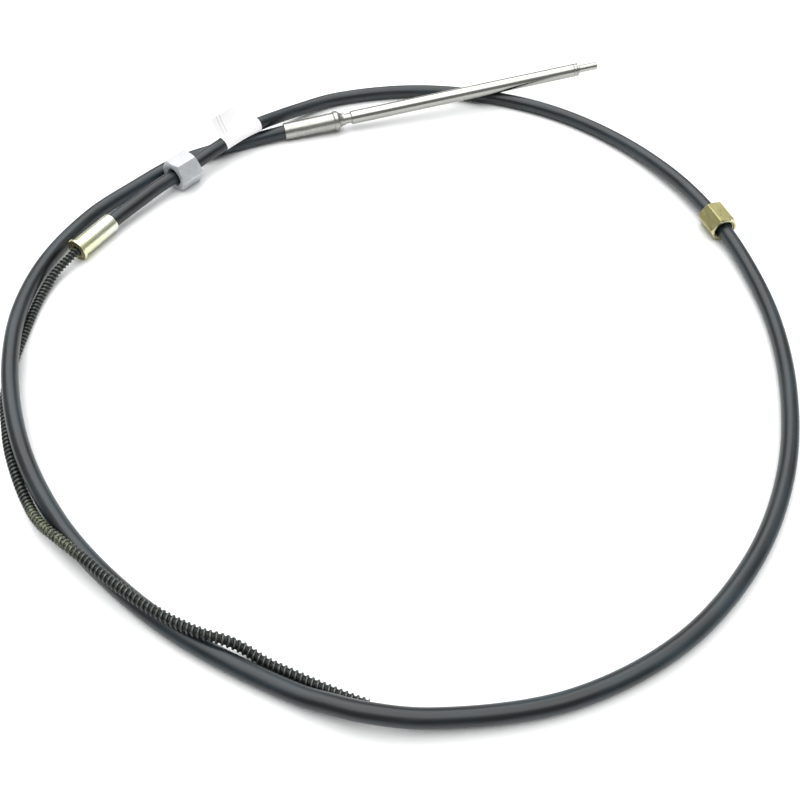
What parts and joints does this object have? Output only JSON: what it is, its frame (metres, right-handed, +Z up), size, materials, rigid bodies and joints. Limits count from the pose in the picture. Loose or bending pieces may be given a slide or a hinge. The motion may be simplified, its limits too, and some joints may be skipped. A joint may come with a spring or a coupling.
{
  "type": "boat steering cable",
  "caption": "Jacketed rotary steering cable laid in one loop, with a bare toothed core, a flanged ferrule, two loose hexagon nuts and a sliding stainless ram.",
  "frame": {"origin": "on the floor below the centre of the part's bounding box", "axes": "+Z up from the floor, +Y away from the camera along the loop's longer side, +X to the camera's right"},
  "size_m": [0.7658, 0.8547, 0.0548],
  "materials": {
    "jacket_plastic": "satin black extruded jacket",
    "greased_steel": "dark, greasy steel",
    "yellow_zinc": "yellow-passivated zinc plating",
    "bright_zinc": "pale satin zinc plating",
    "olive_zinc": "olive-yellow zinc plating",
    "label_film": "white label film",
    "stainless": "bright turned stainless steel",
    "stainless_ground": "ground and polished stainless steel"
  },
  "bodies": {
    "cable": {"outer_jacket": "jacket_plastic", "drive_core": "greased_steel", "helm_ferrule": "yellow_zinc", "output_hub": "stainless", "support_tube": "stainless", "cable_label": "label_film"},
    "ram": {"ram_tube": "stainless_ground", "ram_end": "stainless_ground"},
    "helm_nut": {"helm_nut": "bright_zinc"},
    "tilt_tube_nut": {"tilt_tube_nut": "olive_zinc"}
  },
  "joints": [
    {"name": "ram_slide", "type": "slide", "parent": "cable", "child": "ram", "axis": [0.9575, 0.2842, 0.0497], "range_m": [0, 0.228]},
    {"name": "helm_nut_spin", "type": "hinge", "parent": "cable", "child": "helm_nut", "pos_m": [-0.24748, 0.21672, 0.0171], "axis": [-0.6351, -0.7725, 0], "continuous": true},
    {"name": "tilt_nut_spin", "type": "hinge", "parent": "cable", "child": "tilt_tube_nut", "pos_m": [0.35108, 0.1308, 0.0136], "axis": [0.2821, -0.9594, 0], "continuous": true}
  ]
}
